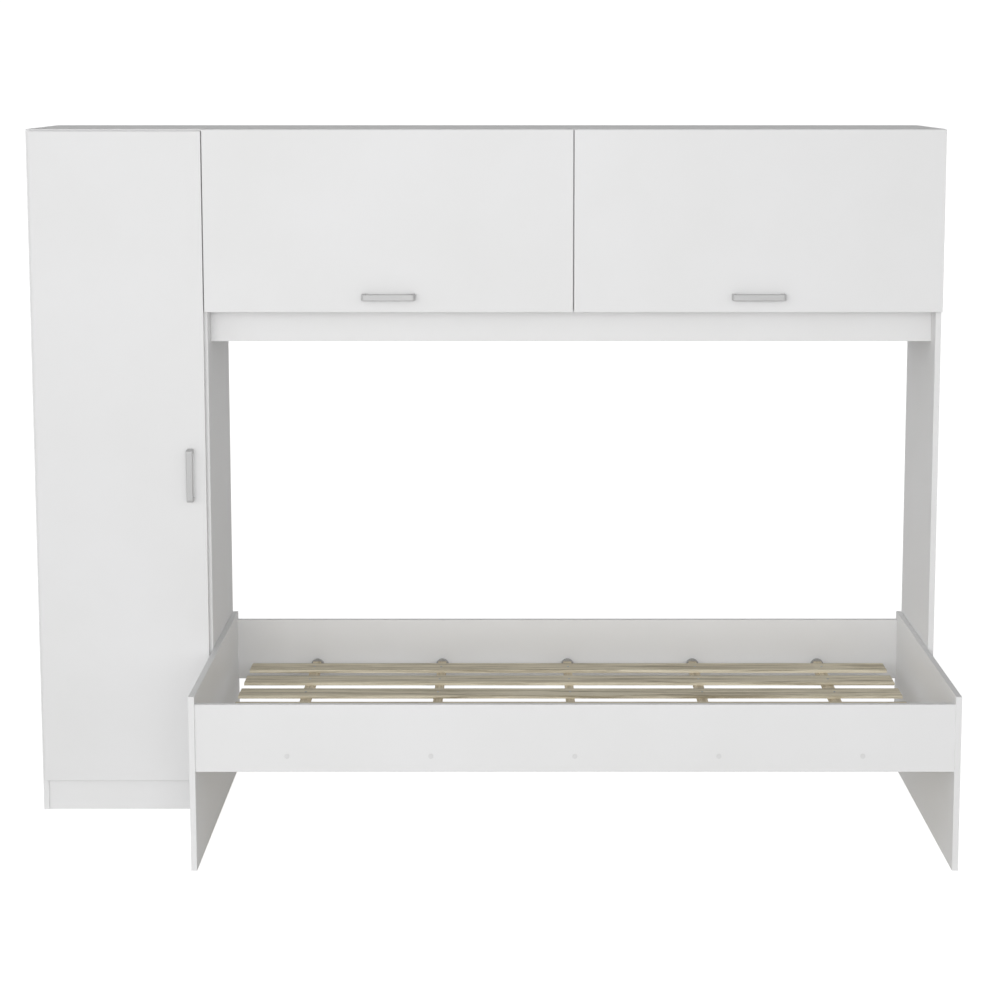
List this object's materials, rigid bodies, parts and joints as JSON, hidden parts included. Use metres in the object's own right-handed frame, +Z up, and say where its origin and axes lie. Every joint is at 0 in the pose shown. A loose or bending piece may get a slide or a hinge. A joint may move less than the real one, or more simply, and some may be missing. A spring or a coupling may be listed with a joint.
{
  "type": "single bed with over-bed cabinets and wardrobe",
  "caption": "Slatted single bed under a bridge of gas-strut flap cabinets, joined to a tall hinged-door wardrobe, in white melamine board with bow handles",
  "frame": {"origin": "centre of the footprint on the floor", "axes": "+X to the right along the bed, +Y to the back towards the wall, +Z up"},
  "size_m": [2.547, 0.95, 1.948],
  "materials": {
    "white_board": "white melamine, fine grained",
    "white_hardboard": "white lacquered face",
    "slat_wood": "planed softwood",
    "batten_wood": "planed softwood",
    "socket_plastic": "moulded, matt",
    "white_plastic": "moulded, satin",
    "grey_plastic": "moulded, satin",
    "satin_metal": "satin silver",
    "chrome_tube": "polished",
    "chrome_rod": "polished",
    "nickel_steel": "nickel plated",
    "zinc_steel": "zinc plated",
    "grey_paint": "satin grey paint"
  },
  "bodies": {
    "unit": {"batten_screws": "zinc_steel", "batten_sockets": "socket_plastic", "bed_back_rail": "white_board", "bed_front_rail": "white_board", "bed_left_end": "white_board", "bed_right_end": "white_board", "bridge_apron": "white_board", "bridge_back": "white_hardboard", "bridge_bottom": "white_board", "bridge_divider": "white_board", "bridge_rear_rail": "white_board", "bridge_right_side": "white_board", "bridge_top": "white_board", "cam_bolts": "zinc_steel", "cam_locks": "zinc_steel", "centre_side": "white_board", "cross_batten_1": "batten_wood", "cross_batten_2": "batten_wood", "cross_batten_3": "batten_wood", "cross_batten_4": "batten_wood", "cross_batten_5": "batten_wood", "hanging_rail": "chrome_tube", "hanging_rail_sockets": "grey_plastic", "left_flap_hinge_arms": "nickel_steel", "right_flap_hinge_arms": "nickel_steel", "screw_caps": "white_plastic", "shelf_pins": "zinc_steel", "slat_1": "slat_wood", "slat_2": "slat_wood", "slat_3": "slat_wood", "slat_4": "slat_wood", "slat_5": "slat_wood", "slat_6": "slat_wood", "strut_side_brackets": "zinc_steel", "wardrobe_back": "white_hardboard", "wardrobe_bottom": "white_board", "wardrobe_hat_shelf": "white_board", "wardrobe_hinge_arms": "nickel_steel", "wardrobe_left_side": "white_board", "wardrobe_plinth": "white_board", "wardrobe_top": "white_board"},
    "wardrobe_door": {"wardrobe_door": "white_board", "wardrobe_door_handle": "satin_metal", "wardrobe_hinge_cups": "nickel_steel"},
    "left_flap": {"left_flap": "white_board", "left_flap_handle": "satin_metal", "left_flap_hinge_cups": "nickel_steel", "left_flap_strut_brackets": "zinc_steel"},
    "right_flap": {"right_flap": "white_board", "right_flap_handle": "satin_metal", "right_flap_hinge_cups": "nickel_steel", "right_flap_strut_brackets": "zinc_steel"},
    "left_strut_cylinders": {"left_strut_cylinders": "grey_paint"},
    "left_strut_rods": {"left_strut_rods": "chrome_rod"},
    "right_strut_cylinders": {"right_strut_cylinders": "grey_paint"},
    "right_strut_rods": {"right_strut_rods": "chrome_rod"}
  },
  "joints": [
    {"name": "wardrobe_door_hinge", "type": "hinge", "parent": "unit", "child": "wardrobe_door", "pos_m": [-1.264, 0.009, 1.017], "axis": [0, 0, -1], "range_deg": [0, 100]},
    {"name": "left_flap_hinge", "type": "hinge", "parent": "unit", "child": "left_flap", "pos_m": [-0.27113, 0.009, 1.947], "axis": [-1, 0, 0], "range_deg": [0, 85]},
    {"name": "left_strut_tilt", "type": "hinge", "parent": "unit", "child": "left_strut_cylinders", "pos_m": [-0.27113, 0.14, 1.64], "axis": [1, 0, 0], "range_deg": [0, 17]},
    {"name": "left_strut_stroke", "type": "slide", "parent": "left_strut_cylinders", "child": "left_strut_rods", "axis": [0, -0.3585, 0.9335], "range_m": [0, 0.076]},
    {"name": "right_flap_hinge", "type": "hinge", "parent": "unit", "child": "right_flap", "pos_m": [0.75962, 0.009, 1.947], "axis": [-1, 0, 0], "range_deg": [0, 85]},
    {"name": "right_strut_tilt", "type": "hinge", "parent": "unit", "child": "right_strut_cylinders", "pos_m": [0.75962, 0.14, 1.64], "axis": [1, 0, 0], "range_deg": [0, 17]},
    {"name": "right_strut_stroke", "type": "slide", "parent": "right_strut_cylinders", "child": "right_strut_rods", "axis": [0, -0.3585, 0.9335], "range_m": [0, 0.076]}
  ],
  "couplings": [
    {"joint": "left_strut_tilt", "follows": "left_flap_hinge", "ratio": 0.18905},
    {"joint": "left_strut_stroke", "follows": "left_flap_hinge", "m_per_rad": 0.049424},
    {"joint": "right_strut_tilt", "follows": "right_flap_hinge", "ratio": 0.18905},
    {"joint": "right_strut_stroke", "follows": "right_flap_hinge", "m_per_rad": 0.049424}
  ]
}
